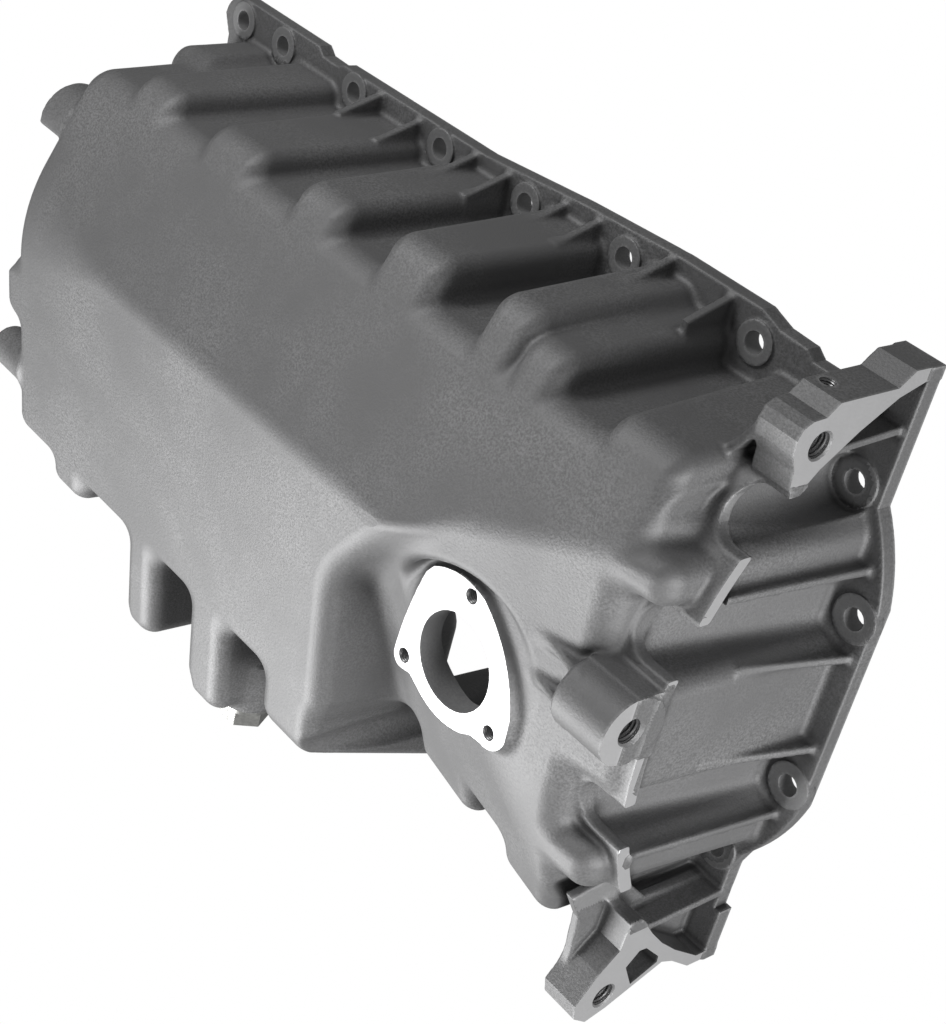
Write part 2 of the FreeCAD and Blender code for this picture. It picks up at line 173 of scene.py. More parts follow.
class Place:
    """Points at which distances are wanted: a whole grid, or a list of loose points."""

    def __init__(self, x, y, z, grid):
        self.axes, self.grid = (x, y, z), grid

    def start(self):
        """Every point far outside, before the first shape is added."""
        count = [len(a) for a in self.axes] if self.grid else len(self.axes[0])
        return np.full(count, FAR, np.float32 if self.grid else np.float64)

    def near(self, box, pad):
        """The points in a box that is wider by pad: where to write, and their coordinates."""
        limits = [(box[2 * i] - pad, box[2 * i + 1] + pad) for i in range(3)]
        if self.grid:
            cut = tuple(slice(*np.searchsorted(a, lim)) for a, lim in zip(self.axes, limits))
            x, y, z = (a[s] for a, s in zip(self.axes, cut))
            return cut, (x[:, None, None], y[None, :, None], z[None, None, :])
        inside = np.ones(len(self.axes[0]), bool)
        for a, (low, high) in zip(self.axes, limits):
            inside &= (a > low) & (a < high)
        cut = np.nonzero(inside)[0]
        return cut, tuple(a[cut] for a in self.axes)

    def run(self, steps, values):
        """Adds or cuts one shape after another, each only in and round its own box."""
        for kind, shape, box, k in steps:
            cut, (x, y, z) = self.near(box, k + REACH)
            here = values[cut]
            if here.size == 0:
                continue
            other = shape(x, y, z)
            if kind == "add":
                values[cut] = smooth_least(here, other, k)
            else:
                values[cut] = -smooth_least(-here, other, k)
        return values


# %% [markdown]
# ## Outlines and round bodies
# Machined ends, plates and the flange are outlines pushed along one axis. The distance to an
# outline is the least distance to its straight sides, and it is negative where a line drawn
# to the side crosses the outline an odd number of times.

# %% Outlines and cylinders
def outline_distance(points, u, v):
    """Signed distance in the plane to a closed outline, negative inside."""
    best = np.full(np.broadcast(u, v).shape, 1e9)
    odd = np.zeros(best.shape, bool)
    for (u0, v0), (u1, v1) in zip(points, points[1:] + points[:1]):
        du, dv = u1 - u0, v1 - v0
        along = np.clip(((u - u0) * du + (v - v0) * dv) / (du * du + dv * dv), 0, 1)
        best = np.minimum(best, (u - u0 - along * du) ** 2 + (v - v0 - along * dv) ** 2)
        if dv:
            odd ^= ((v0 <= v) != (v1 <= v)) & (u < u0 + (v - v0) * du / dv)
    return np.where(odd, -1, 1) * np.sqrt(best)


def arc(start, middle, end, count=9):
    """Points on the circle through three points, from start to end."""
    (ax, ay), (bx, by), (cx, cy) = start, middle, end
    d = 2 * (ax * (by - cy) + bx * (cy - ay) + cx * (ay - by))
    a2, b2, c2 = ax * ax + ay * ay, bx * bx + by * by, cx * cx + cy * cy
    ox = (a2 * (by - cy) + b2 * (cy - ay) + c2 * (ay - by)) / d
    oy = (a2 * (cx - bx) + b2 * (ax - cx) + c2 * (bx - ax)) / d
    t0, t1, t2 = (math.atan2(y - oy, x - ox) for x, y in (start, middle, end))
    turn = (t2 - t0 + math.pi) % (2 * math.pi) - math.pi
    if ((t1 - t0 + math.pi) % (2 * math.pi) - math.pi) * turn < 0:
        turn -= math.copysign(2 * math.pi, turn)
    r = math.hypot(ax - ox, ay - oy)
    return [(ox + r * math.cos(t0 + turn * s), oy + r * math.sin(t0 + turn * s))
            for s in np.linspace(0, 1, count)]


def plate_x(points, x0, x1, r):
    """A plate between two X positions with an outline in Y and Z."""
    return lambda x, y, z: within(r, outline_distance(points, y, z), slab(x, x0, x1))


def plate_y(points, y0, y1, r):
    """A plate between two Y positions with an outline in X and Z."""
    return lambda x, y, z: within(r, outline_distance(points, x, z), slab(y, y0, y1))


def post(cx, cy, radius, low, high, r=0.0):
    """A cylinder parallel to Z."""
    return lambda x, y, z: within(r, np.hypot(x - cx, y - cy) - radius, slab(z, low, high))


def rod(cy, cz, radius, low, high, r=0.0):
    """A cylinder parallel to X."""
    return lambda x, y, z: within(r, np.hypot(y - cy, z - cz) - radius, slab(x, low, high))


def pin(cx, cz, radius, low, high, r=0.0):
    """A cylinder parallel to Y."""
    return lambda x, y, z: within(r, np.hypot(x - cx, z - cz) - radius, slab(y, low, high))


def box_of(points, low, high, axis):
    """The box round an outline that is pushed from low to high along axis 0, 1 or 2."""
    a, b = zip(*points)
    sides = [min(a), max(a), min(b), max(b)]
    return tuple(sides[:2 * axis] + [low, high] + sides[2 * axis:])


def round_box(cx, cy, reach, low, high):
    """The box round an upright shape that reaches as far in X as in Y."""
    return cx - reach, cx + reach, cy - reach, cy + reach, low, high


print("grid step", GRID, "mm")

# %% [markdown]
# ## The body of the pan
# The pan is a deep sump towards the rear and a shallower part towards the gearbox. The wall
# is wavy: bulges between the bolts give the oil room and stiffen it. The bottom is a few
# sloping planes that cut all those bulges alike. You build it the same way: first the wavy
# wall alone, leaning a little so that the casting leaves its mould, then the bottom, and
# last one rounding where the two meet, which gives the soft flowing edge of a casting.

# %% Wall and bottom
DRAFT = 0.035
NEAR_FLOOR = (-132.4, 0.0, -0.47)
SUMP_FLOOR = (-117.4, 0.0, 0.128)
PORT_FLOOR = (-127.7, -0.20, 0.42)
NOSE_FLOOR = (-94.0, 0.20, 0.04)
SUMP_END, SUMP_LEAN = -130.5, 0.09
CORNER_Y, CORNER_RUN, CORNER_RISE, CORNER_LENGTH = 17, 37, 30, 47.6
REAR_X, END_X, NEAR_Y, FAR_Y = -383.0, -3.5, -91, 89
CORE_ROUND, END_DRAFT = 9, 0.20
DEEPEST, BOTTOM_ROUND, TOP = -130.0, 7.5, 4.0
SUMP_ROUND, SUMP_BLEND, SHALLOW_BLEND, CORNER_BLEND = 8.0, 11, 8, 8
RIDGE, SOFTER, SOFT_FROM, SOFT_OVER = 2.5, 10, -310, 60
REAR_BUMP = (-394, REAR_X + 40, -3, 35, 9)
NEAR_BULGES = [(-351.5, -317.5, 99.5), (-298, -257.5, 99.8), (-238, -203.5, 102.5),
               (-184, -147.5, 106.5), (-127.5, -100, 110), (-106, -79.5, 104.5),
               (-59.5, -20, 100.5)]
FAR_BULGES = [(-351.5, -317.5, 100), (-127.5, -79.5, 107), (-59.5, -20, 103)]
END_BULGES = [(-72, -48.5, 1.0), (-27, 26, 5.2), (46.5, 71, 3.0)]
LOBES = [(-286, -257, 131.5, 0.0), (-236, -202.5, 134.6, 0.0), (-181, -140, 141, 0.31)]
LOBE_ROUND, LOBE_EDGE, ROOF_Z, ROOF_SLOPE = 9, 5.0, -40, 1.3
SLANT, SLANT_Y, BULGE_Y = 0.5, 116, 60
RAIL_X, RAIL_END, RAIL_NEAR, RAIL_FAR, RAIL_Z, RAIL_ROUND = -397.0, -345, -94.5, 92.5, -46, 12
LIMITS = ((-407.45, 16.55), (-131.95, 139.5), (-120.2, 0.0))


def fence(x0, x1, y0, y1, r, leans=(DRAFT,) * 4):
    """Four leaning sides with no bottom, their corners rounded to radius r."""
    def shape(x, y, z):
        return within(r, x0 - leans[0] * z - x, x - x1 - leans[1] * z,
                      y0 - leans[2] * z - y, y - y1 - leans[3] * z)
    return shape, (x0, x1, y0, y1, DEEPEST, TOP)


def lobe(x0, x1, out, lean):
    """A deep lobe that reaches out past the flange, under a roof that slopes up inwards.
    Its rear side slants, so it is narrower far out."""
    sides, box = fence(x0, x1, BULGE_Y, out, LOBE_ROUND, (DRAFT, DRAFT, 0, lean))

    def shape(x, y, z):
        under_roof = z - ROOF_Z - ROOF_SLOPE * (out - ROOF_Z * lean - y)
        rear_side = x0 + SLANT * (y - SLANT_Y) - x
        return within(LOBE_EDGE, sides(x, y, z),
                      np.maximum(under_roof / math.hypot(1, ROOF_SLOPE),
                                 rear_side / math.hypot(1, SLANT)))
    return shape, box


def floor_distance(x, y, z):
    """How far below the bottom: sloping planes that meet in rounded ridges, with the sump's
    end wall between the deep part and the shallow part."""
    def under(plane):
        height, slope_x, slope_y = plane
        return (height + slope_x * x + slope_y * y - z) / math.hypot(1, slope_x, slope_y)

    end = x - SUMP_END - SUMP_LEAN * z
    across = CORNER_RUN * (x - SUMP_END - 1.5) + CORNER_RISE * (y - CORNER_Y)
    end = smooth_least(end, across / CORNER_LENGTH - SUMP_LEAN * z, CORNER_BLEND)
    deep = within(SUMP_ROUND, under(SUMP_FLOOR), end)
    shallow = -smooth_least(-under(PORT_FLOOR), -under(NOSE_FLOOR), SHALLOW_BLEND)
    lower = smooth_least(deep, shallow, SUMP_BLEND)
    soft = RIDGE + SOFTER * np.clip((SOFT_FROM - x) / SOFT_OVER, 0, 1)
    return -smooth_least(-under(NEAR_FLOOR), -lower, soft)


def wall_steps():
    """Every form of the wavy wall, as steps for Place.run."""
    core = fence(REAR_X, END_X, NEAR_Y, FAR_Y, CORE_ROUND, (DRAFT, END_DRAFT, DRAFT, DRAFT))
    made = [(core, 0), (fence(*REAR_BUMP), 9)]
    made += [(fence(x0, x1, -out, -BULGE_Y, 6.5), 5) for x0, x1, out in NEAR_BULGES]
    made += [(fence(x0, x1, BULGE_Y, out, 8), 8) for x0, x1, out in FAR_BULGES]
    made += [(fence(-60, out, y0, y1, 7, (0, 0.077, DRAFT, DRAFT)), 6)
             for y0, y1, out in END_BULGES]
    made += [(lobe(*sizes), 10) for sizes in LOBES]
    return [("add", shape, box, k) for (shape, box), k in made]


def rail(x, y, z):
    """The shallow step at the rear that carries the end of the flange."""
    return within(RAIL_ROUND, RAIL_X - DRAFT * z - x, x - RAIL_END, RAIL_NEAR - DRAFT * z - y,
                  y - RAIL_FAR - DRAFT * z, RAIL_Z - z)


# %% [markdown]
# ## Flange, bolts and ribs
# The flange is a plate of uneven outline, because metal is left only where a bolt pulls or a
# rib ends. Under each bolt the wall is hollowed by the path of the socket, and the casting
# is milled in a ring, the spot face, so that the bolt's head sits flat.

# %% Flange and ribs
FLANGE = 6.9
BOLT_R, SPOT_R, END_SPOT_R, SPOT, ACCESS_R = 4.3, 8.3, 9.3, 1.0, 10.3
SIDE_BOLTS = [(-391.8, 101.4), (-360.6, 101.4), (-307.4, 101.4), (-247.7, 101.4),
              (-193.7, 101.4), (-137.5, 105), (-69.3, 105)]
BOLTS = [(-391.8, 0.0, SPOT_R)]
for side in (-1, 1):
    BOLTS += [(x, side * y, SPOT_R) for x, y in SIDE_BOLTS]
    BOLTS += [(-11.7, side * 81.9, END_SPOT_R), (7.3, side * 37.2, END_SPOT_R)]
EDGE = [(-17, -132), (-18, -119), (-28, -110.5), (-44, -110.5), (-48, -113.5), (-61, -114),
        (-71, -117.4), (-113, -117.4), (-165, -114.5), (-222, -109.5), (-318, -109),
        (-323, -107), (-333, -107.3), (-337, -110.5)]
CORNER = arc((-392, -110.8), (-403.5, -107.3), (-407.5, -99.5))
BOW = arc((0, -77.5), (9.5, -61), (15, -43.5))
GUSSETS = [(-290.6, 107.8), (-264.1, 107), (-227.2, 108), (-206.7, 108.5), (-173.6, 111),
           (-154.7, 112.5), (-115.7, 116), (-85.4, 115.5)]
GUSSET_HALF, GUSSET_DEPTH, GUSSET_Y, GUSSET_SLANT = 1.8, 21.5, 84, 7.5
END_RIBS = [(-56, 6.1, 67), (-22.4, 11.6, 47), (17.7, 11.6, 49), (51.6, 7.1, 71)]
END_RIB_HALF, END_RIB_X, RIB_TOP = 1.6, -22, -3


def mirrored(points):
    """The same points on the far side, in reverse order."""
    return [(x, -y) for x, y in reversed(points)]


FLANGE_OUTLINE = (
    [(0, -132)] + EDGE + CORNER + [(-403, -91), (-403, 91)] + mirrored(CORNER)
    + mirrored(EDGE[2:]) + [(-17, 131.5), (0, 131.5), (0, 107), (-3, 107), (-3, 85),
                            (0, 77.5)] + [(x, -y) for x, y in BOW[1:]] + BOW[::-1])


def flange_plate(x, y, z):
    """The flange: its outline in plan, pushed through its thickness."""
    return within(0.9, outline_distance(FLANGE_OUTLINE, x, y), slab(z, -FLANGE, 5))


def flange_steps():
    """The plate, a spot face under every bolt, and the ribs of the sides and of the end."""
    steps = [("add", flange_plate, box_of(FLANGE_OUTLINE, -FLANGE, 4, 2), 3.2)]
    face = -FLANGE - SPOT
    for x, y, r in BOLTS:
        steps.append(("add", post(x, y, r, face, RIB_TOP, 0.25),
                      round_box(x, y, r, face, RIB_TOP), 0.7))
    low = -FLANGE - GUSSET_DEPTH
    for side in (-1, 1):
        for x, out in GUSSETS:
            rib = [(side * GUSSET_Y, RIB_TOP), (side * out, RIB_TOP), (side * out, -FLANGE - 0.5),
                   (side * (out - GUSSET_SLANT), low), (side * GUSSET_Y, low)]
            x0, x1 = x - GUSSET_HALF, x + GUSSET_HALF
            steps.append(("add", plate_x(rib, x0, x1, 1.1), box_of(rib, x0, x1, 0), 2.6))
    for y, out, depth in END_RIBS:
        low = -FLANGE - depth
        rib = [(END_RIB_X, RIB_TOP), (out, RIB_TOP), (out, -FLANGE - 1), (0, low),
               (END_RIB_X, low)]
        y0, y1 = y - END_RIB_HALF, y + END_RIB_HALF
        steps.append(("add", plate_y(rib, y0, y1, 1.1), (END_RIB_X, out, y0, y1, low, RIB_TOP), 3.0))
    return steps


# %% [markdown]
# ## The gearbox end
# The gearbox bolts to a row of pads that lie in one plane, so the whole end was milled in one
# pass. The skirt is a thin arc that closes the bell housing, and it is cut open wherever a
# bolt of the flange must be reached. The block and the bracket at its two corners carry
# threaded holes.

# %% Skirt, corner block, bracket and nose
SKIRT_R, SKIRT_T, SKIRT_Y, SKIRT_Z = 151.0, 5.2, -1.0, 58.0
SKIRT_BACK, SKIRT_HALF, SKIRT_TOP = -30, 95, -45
SLOTS = [(-6, -83), (-11, -38.8), (-11, 34.5), (-6, 78.7)]
BLOCK_OUTLINE = [
    (-132, 3), (-132, -15.3), (-126.5, -22), (-125.8, -51), (-121.3, -55.8), (-120.8, -62),
    (-118.7, -65.7), (-114.7, -67.2), (-108.8, -66.2), (-103, -63.2), (-95.5, -62),
    (-93.2, -60), (-93.6, -56.4), (-101.3, -49.8), (-112.8, -35.4), (-122.7, -19.9),
    (-127.2, -6.9), (-127.2, 3)]
BLOCK_BACK = [(-128, -3), (-105.5, -3), (-103.5, -45), (-113, -35), (-123, -19)]
BLOCK_WEB = [(-105.8, -44), (-103, -46), (-105.3, -3), (-108.5, -3)]
FOOT_OUTLINE = [
    (127.4, 3), (127.3, -12), (117, -28.2), (108.7, -38.7), (100.6, -46.8), (90.6, -55.5),
    (89.3, -59.2), (89.6, -62.6), (102, -63.5), (110.5, -71.2), (118.4, -76), (123.5, -79.2),
    (130.5, -77.2), (135.3, -70), (132.5, -60.3), (120.7, -34), (123.2, -27.4),
    (131.1, -15.6), (131.5, 3)]
FOOT_WINDOW = [(107.6, -47.4), (116, -37.8), (119.2, -37.3), (125.2, -49.6), (113.7, -56.2),
               (107.3, -51.2)]
FOOT_BACK = [
    (128, -3), (98, -3), (96, -40), (76, -62), (79, -84), (92, -76), (109, -74), (129, -74),
    (137, -68.5), (139.4, -64), (134, -54), (121.5, -34), (127, -16)]
FOOT_WEB = [(98.5, -48), (101.5, -46), (100.5, -3), (97.3, -3)]
CURVED_WEB = [(-44, -90), (-35, -91.5), (-29, -93), (-22.5, -101), (-15.5, -112.5)]
WEB_HALF, WEB_LOW = 1.6, -66
BLOCK_BOLT, NOSE_BOLT, FOOT_BOLT = (-110.8, -54.1), (-11.8, -101.5), (124.6, -63.8)
NOSE_R, NOSE_BACK, NOSE_RISE = 13.2, -25, 14
BACK = -17


def cut_flat(shape):
    """The same shape, cut flat at the gearbox plane."""
    return lambda x, y, z: np.maximum(shape(x, y, z), x)


def skirt(x, y, z):
    """The arc shell less its slots, as one distance."""
    away = np.hypot(y - SKIRT_Y, z - SKIRT_Z)
    middle = SKIRT_R - SKIRT_T / 2
    d = within(0.9, np.abs(away - middle) - SKIRT_T / 2, slab(x, SKIRT_BACK, 4),
               np.abs(y - SKIRT_Y) - SKIRT_HALF, z - SKIRT_TOP)
    for sx, sy in SLOTS:
        gap = np.where(x < sx, np.hypot(x - sx, y - sy), np.abs(y - sy)) - ACCESS_R
        d = -smooth_least(-d, gap, 1.4)
    return np.maximum(d, x)


def curved_web(x, y, z):
    """A thin web that follows a path in plan, its free edge rounded."""
    best = np.full(np.broadcast(x, y).shape, 1e9)
    for (x0, y0), (x1, y1) in zip(CURVED_WEB, CURVED_WEB[1:]):
        dx, dy = x1 - x0, y1 - y0
        along = np.clip(((x - x0) * dx + (y - y0) * dy) / (dx * dx + dy * dy), 0, 1)
        best = np.minimum(best, np.hypot(x - x0 - along * dx, y - y0 - along * dy))
    return within(1.2, best - WEB_HALF, slab(z, WEB_LOW, RIB_TOP))


def foot(x, y, z):
    """The bracket's front plate with its window, cut flat at the gearbox plane."""
    front = within(0.9, outline_distance(FOOT_OUTLINE, y, z), slab(x, BACK, 4))
    window = within(2.0, outline_distance(FOOT_WINDOW, y, z), slab(x, -12.8, 9))
    return np.maximum(-smooth_least(-front, window, 0.8), x)


def end_steps():
    """Skirt, threaded nose with its two ribs, the plates at both corners and the web."""
    y, z = NOSE_BOLT
    y0, y1 = y - NOSE_R, y + NOSE_R
    stem = [(NOSE_BACK, z + NOSE_RISE), (NOSE_BACK, z), (3, z), (3, z + NOSE_RISE)]
    steps = [("add", skirt, (SKIRT_BACK, 0, -96, 94, -94, SKIRT_TOP), 3.0),
             ("add", cut_flat(rod(y, z, NOSE_R, NOSE_BACK, 4, 1.5)),
              (NOSE_BACK, 0, y0, y1, z - NOSE_R, z + NOSE_R), 3.0),
             ("add", cut_flat(plate_y(stem, y0, y1, 0.5)),
              (NOSE_BACK, 0, y0, y1, z, z + NOSE_RISE), 2.0)]
    for side in (-1, 1):
        rib = [(-21, z - 7), (-53, z + 1), (-53, z + 12), (-21, z + 12)]
        at = y + side * 8
        steps.append(("add", plate_y(rib, at - 1.5, at + 1.5, 1.2),
                      (-53, -21, at - 1.5, at + 1.5, z - 7, z + 12), 4.0))
    plates = [(BLOCK_OUTLINE, BACK, 4, 0.9, 1.5), (BLOCK_BACK, BACK, -14, 0.8, 2.0),
              (BLOCK_WEB, -26, -2.5, 0.8, 2.0), (FOOT_BACK, BACK, -13, 0.9, 2.0),
              (FOOT_WEB, -26, -2.5, 0.8, 2.0)]
    for points, x0, x1, r, k in plates:
        box = box_of(points, x0, min(x1, 0), 0)
        steps.append(("add", cut_flat(plate_x(points, x0, x1, r)), box, k))
    steps.append(("add", foot, box_of(FOOT_OUTLINE, BACK, 0, 0), 1.5))
    steps.append(("add", curved_web, (-46, -13, -114, -88, -66, -3), 2.5))
    return steps


# %% [markdown]
# ## The sensor pad and the rear end
# A small milled pad with three threaded holes surrounds a port. Its sides lean outwards so
# that it leaves the mould, and the skin beside it is dished so that the cutter runs free.
# You add the pad a little too thick, then mill it and all round it down to one plane. The
# rear end carries half a ring and a round lug, of which the picture shows little.

# %% Pad, drain boss and rear bosses
PORT = (-77.8, 12.8, -106.0)
PORT_R, PORT_CIRCLE = 18.6, 28.0
DISH_R, DISH_RISE, MILL_R, PAD_LEAN, PAD_DEPTH = 37.5, 2.5, 36.0, 0.22, 24
PORT_BOLTS = [(PORT[0] + PORT_CIRCLE * math.cos(math.radians(a)),
               PORT[1] + PORT_CIRCLE * math.sin(math.radians(a))) for a in (270, 150, 30)]
PAD_OUTLINE = (arc((-107.5, 26), (-105.6, 7.5), (-101.5, -10.5))
               + arc((-98.5, -14.5), (-90, -18.4), (-77.5, -19.2))
               + arc((-72, -18), (-55.5, -3.7), (-46, 16)) + arc((-45.5, 24), (-48.5, 31), (-56, 33))
               + [(-61.5, 33.5)] + arc((-66, 36), (-78, 38), (-91, 34.5)) + [(-97, 31.5)]
               + arc((-102, 32.3), (-106, 31), (-107.5, 28)))
DRAIN, DRAIN_FACE, DRAIN_BOSS_R, DRAIN_R = (-216.0, -76.0), 135.5, 13.5, 7.0
HOOK, HOOK_R, HOOK_HALF, HOOK_END = (-57.0, -87.5), 12, 4.8, -394
GROOVE_HALF, GROOVE_DEPTH = 1.7, 4
LUG, LUG_R, LUG_END = (55, -102), 9.5, -400


def pad(x, y, z):
    """The pad, wider by PAD_LEAN for each millimetre above its face."""
    rise = np.clip(z - PORT[2], 0, 40)
    side = outline_distance(PAD_OUTLINE, x, y) - PAD_LEAN * rise
    return within(0.3, side, slab(z, PORT[2] - 4, PORT[2] + PAD_DEPTH))


def dish(x, y, z):
    """The space that the cutter clears round the pad."""
    away = np.hypot(x - PORT[0], y - PORT[1])
    return within(3.0, away - DISH_R, z - PORT[2] - DISH_RISE)


def mill(x, y, z):
    """Everything below the pad's face, within the cutter's reach."""
    return np.maximum(np.hypot(x - PORT[0], y - PORT[1]) - MILL_R, z - PORT[2])


def hook(x, y, z):
    """Half a ring on the rear end, cut off flat."""
    away = np.hypot(y - HOOK[0], z - HOOK[1])
    return within(1.5, np.abs(away - HOOK_R) - HOOK_HALF, slab(x, HOOK_END, -376), y - HOOK[0] - 1)


def groove(x, y, z):
    """A ring cut into the hook's end face."""
    away = np.hypot(y - HOOK[0], z - HOOK[1])
    return np.maximum(np.abs(away - HOOK_R) - GROOVE_HALF, x - HOOK_END - GROOVE_DEPTH)


def detail_steps():
    """Dish, pad and milled face, the drain boss, and what the rear end carries."""
    around = round_box(*PORT[:2], 40, DEEPEST, PORT[2] + 26)
    x, z = DRAIN
    y, low = LUG
    return [("cut", dish, around, 4.0),
            ("add", pad, around, 3.5),
            ("cut", mill, around, 0),
            ("add", pin(x, z, DRAIN_BOSS_R, 112, DRAIN_FACE, 0.6),
             (x - 14, x + 14, 112, DRAIN_FACE, z - 14, z + 14), 3.0),
            ("add", hook, (HOOK_END, -375, -74, -46, -105, -70), 1.5),
            ("cut", groove, (HOOK_END, -388, -74, -46, -105, -70), 0.6),
            ("add", rod(y, low, LUG_R, LUG_END, -375, 1.5),
             (LUG_END, -375, y - 10, y + 10, low - 10, low + 10), 4.0)]


# %% [markdown]
# ## The space inside and the holes
# The wall of a die casting has one thickness nearly everywhere, so the inside is simply
# every point that lies more than a wall's thickness inside the body. Then the holes are cut
# last, with sharp edges, because they are drilled.

# %% Inside and holes
WALL, END_WALL, PAD_WALL = 4.0, 7.5, 10
TAP_R, SINK_R, SMALL_TAP_R, SMALL_TAP_DEPTH = 4.9, 5.6, 2.9, 8
TAP_DEPTHS = ((BLOCK_BOLT, 30), (NOSE_BOLT, 20), (FOOT_BOLT, 30))
SIDE_TAP, SIDE_TAP_END = (-12, -44), -114.5
BELOW = -140


def access_steps():
    """The rail, then the path of the socket below every bolt of the flange."""
    steps = [("add", rail, (RAIL_X, RAIL_END, -95, 93, RAIL_Z, TOP), 8)]
    for x, y, _ in BOLTS:
        steps.append(("cut", post(x, y, ACCESS_R, -150, -FLANGE),
                      round_box(x, y, ACCESS_R, -150, -FLANGE), 1.6))
    return steps


def inside_steps():
    """What bounds the oil space besides the wall: the thicker end, the bolts and the pad."""
    steps = [("cut", lambda x, y, z: END_X - END_WALL - x, (-14, 30, -75, 75, DEEPEST, TOP), 2.0)]
    reach = ACCESS_R + WALL
    for x, y, _ in BOLTS:
        steps.append(("cut", lambda a, b, c, x=x, y=y: np.hypot(a - x, b - y) - reach,
                      round_box(x, y, reach, DEEPEST, TOP), 1.5))
    x, y, z = PORT
    steps.append(("cut", post(x, y, 40.7, BELOW, z + PAD_WALL),
                  round_box(x, y, 41, BELOW, z + PAD_WALL), 2.0))
    return steps


def tapped(y, z, depth):
    """A hole along X from the gearbox plane, with a cone of 45 degrees at its mouth."""
    def shape(a, b, c):
        away = np.hypot(b - y, c - z)
        cone = away - SINK_R - np.clip(a, -9, 2)
        return np.minimum(np.maximum(away - TAP_R, slab(a, -depth, 9)), np.maximum(cone, -9 - a))
    return shape


def hole_steps():
    """Bolt holes, threaded holes, the port and the drain."""
    steps = [("cut", post(x, y, BOLT_R, -12, 8), round_box(x, y, 5, -12, TOP), 0)
             for x, y, _ in BOLTS]
    for (y, z), depth in TAP_DEPTHS:
        steps.append(("cut", tapped(y, z, depth), (-depth, 2, y - 6, y + 6, z - 6, z + 6), 0))
    x, y, z = PORT
    top = z + PAD_DEPTH
    steps.append(("cut", post(x, y, PORT_R, BELOW, top), round_box(x, y, 19, BELOW, top), 0))
    top = z + SMALL_TAP_DEPTH
    for x, y in PORT_BOLTS:
        steps.append(("cut", post(x, y, SMALL_TAP_R, BELOW, top), round_box(x, y, 4, -120, top), 0))
    for (x, z), r, wide, y0, y1 in ((DRAIN, DRAIN_R, 8, 111.5, 140),
                                    (SIDE_TAP, SMALL_TAP_R, 4, -135, SIDE_TAP_END)):
        box = (x - wide, x + wide, y0, y1, z - wide, z + wide)
        steps.append(("cut", pin(x, z, r, y0, y1), box, 0))
    return steps


STEPS = {"wall": wall_steps(), "access": access_steps(),
         "outside": flange_steps() + end_steps() + detail_steps(),
         "inside": inside_steps(), "holes": hole_steps()}


def beyond(x, y, z):
    """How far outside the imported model's box."""
    return within(0, *[side for axis, (low, high) in zip((x, y, z), LIMITS)
                       for side in (low - axis, axis - high)])


def pan_distance(place):
    """The whole casting: outside forms, less the inside, less the holes, below Z = 0."""
    wall = place.run(STEPS["wall"], place.start())
    x, y, z = place.axes
    if place.grid:
        x, y, z = x[:, None, None], y[None, :, None], z[None, None, :]
    body = within(BOTTOM_ROUND, wall, floor_distance(x, y, z))
    body = place.run(STEPS["access"], body)
    hollow = place.run(STEPS["inside"], body + WALL)
    d = place.run(STEPS["outside"], body)
    d = np.maximum(d, -hollow)
    d = place.run(STEPS["holes"], d)
    return np.maximum(np.maximum(d, z), beyond(x, y, z))


print("steps:", {name: len(steps) for name, steps in STEPS.items()})

# %% [markdown]
# ## From distances to a surface
# A grid of points is laid over the pan. Wherever a grid edge runs from inside to outside, the
# surface crosses it, and the slope of the distance there is the direction in which the
# surface faces. In each grid cell you then look for the one point that lies best on all the
# planes that cross its edges. On a flat face it lies on the face, and where two faces meet it
# falls exactly on their edge, so milled edges stay crisp. Four neighbouring points make one
# small face of the piece.

# %% Crossings, corner points and faces
CHUNK, STEP = 400000, 0.03
LOWS, HIGHS = np.array([-412.0, -137.0, -128.0]), np.array([20.0, 144.0, 3.0])
SHIFT, HOLD, MARGIN = 0.37, 0.03, 0.1


def distance_at(points):
    """The casting's distance at loose points, so many at a time."""
    out = np.empty(len(points))
    for s in range(0, len(points), CHUNK):
        x, y, z = points[s:s + CHUNK].T
        out[s:s + CHUNK] = pan_distance(Place(x, y, z, False))
    return out


def facing(points):
    """The unit slope of the distance at each point, from differences over a small step."""
    base = distance_at(points)
    slope = np.empty_like(points)
    for axis in range(3):
        moved = points.copy()
        moved[:, axis] += STEP
        slope[:, axis] = distance_at(moved) - base
    size = np.linalg.norm(slope, axis=1, keepdims=True)
    return slope / np.maximum(size, 1e-9)


def crossings(values, origin, axis):
    """Grid edges along one axis that the surface crosses: their index, point and sign."""
    low = [slice(None)] * 3
    high = list(low)
    low[axis], high[axis] = slice(None, -1), slice(1, None)
    a, b = values[tuple(low)], values[tuple(high)]
    at = np.argwhere((a < 0) != (b < 0))
    va, vb = a[tuple(at.T)].astype(float), b[tuple(at.T)].astype(float)
    low_end, high_end = np.zeros(len(at)), np.ones(len(at))
    base = origin + at * GRID
    for _ in range(3):
        t = np.clip((va * high_end - vb * low_end) / (va - vb), low_end + 0.02, high_end - 0.02)
        points = base.copy()
        points[:, axis] += t * GRID
        v = distance_at(points)
        same = (v < 0) == (va < 0)
        low_end, va = np.where(same, t, low_end), np.where(same, v, va)
        high_end, vb = np.where(same, high_end, t), np.where(same, vb, v)
    t = (va * high_end - vb * low_end) / (va - vb)
    points = base.copy()
    points[:, axis] += t * GRID
    return at, points, a[tuple(at.T)] < 0


